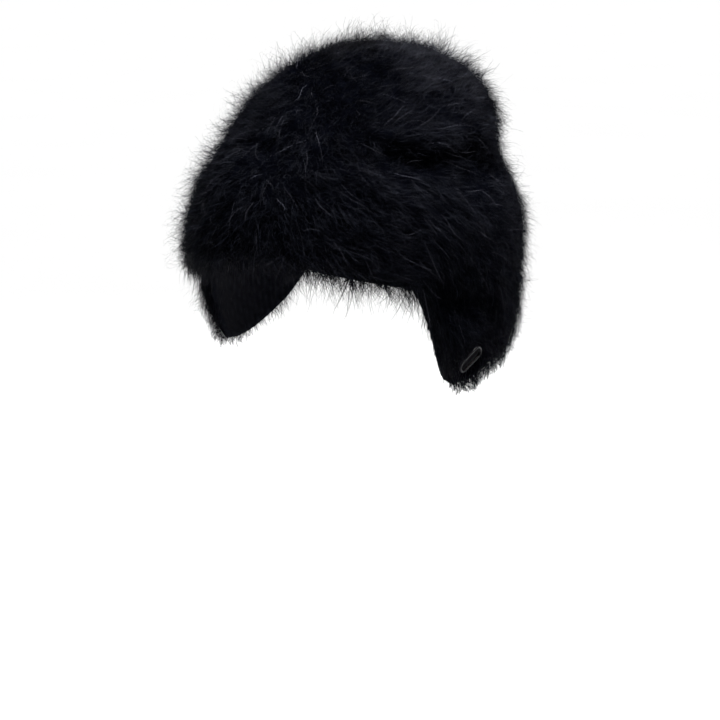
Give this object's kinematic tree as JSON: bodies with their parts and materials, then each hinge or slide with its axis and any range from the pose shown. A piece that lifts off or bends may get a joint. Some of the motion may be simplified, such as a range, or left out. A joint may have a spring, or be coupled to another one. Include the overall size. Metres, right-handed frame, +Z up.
{
  "type": "knit hat with ear flaps",
  "caption": "Soft black fur-yarn knitted hat with two ear flaps, in its worn shape, with an open head hollow and a small plain bar badge on the left flap",
  "frame": {"origin": "the point on the inside of the crown where the head's upright axis meets it; the head carries the hat there", "axes": "-Y is the front, over the forehead; +X is the wearer's left, where the badge is; +Z is up, as worn on an upright head"},
  "size_m": [0.1862, 0.2168, 0.1855],
  "materials": {
    "knit_cap": "matt black knitted yarn",
    "fur_pile": "deep soft black fur with a faint cool sheen",
    "ear_badge": "plain gloss black"
  },
  "bodies": {
    "root": {"knit_cap": "knit_cap", "fur_pile": "fur_pile", "ear_badge": "ear_badge"}
  },
  "joints": []
}
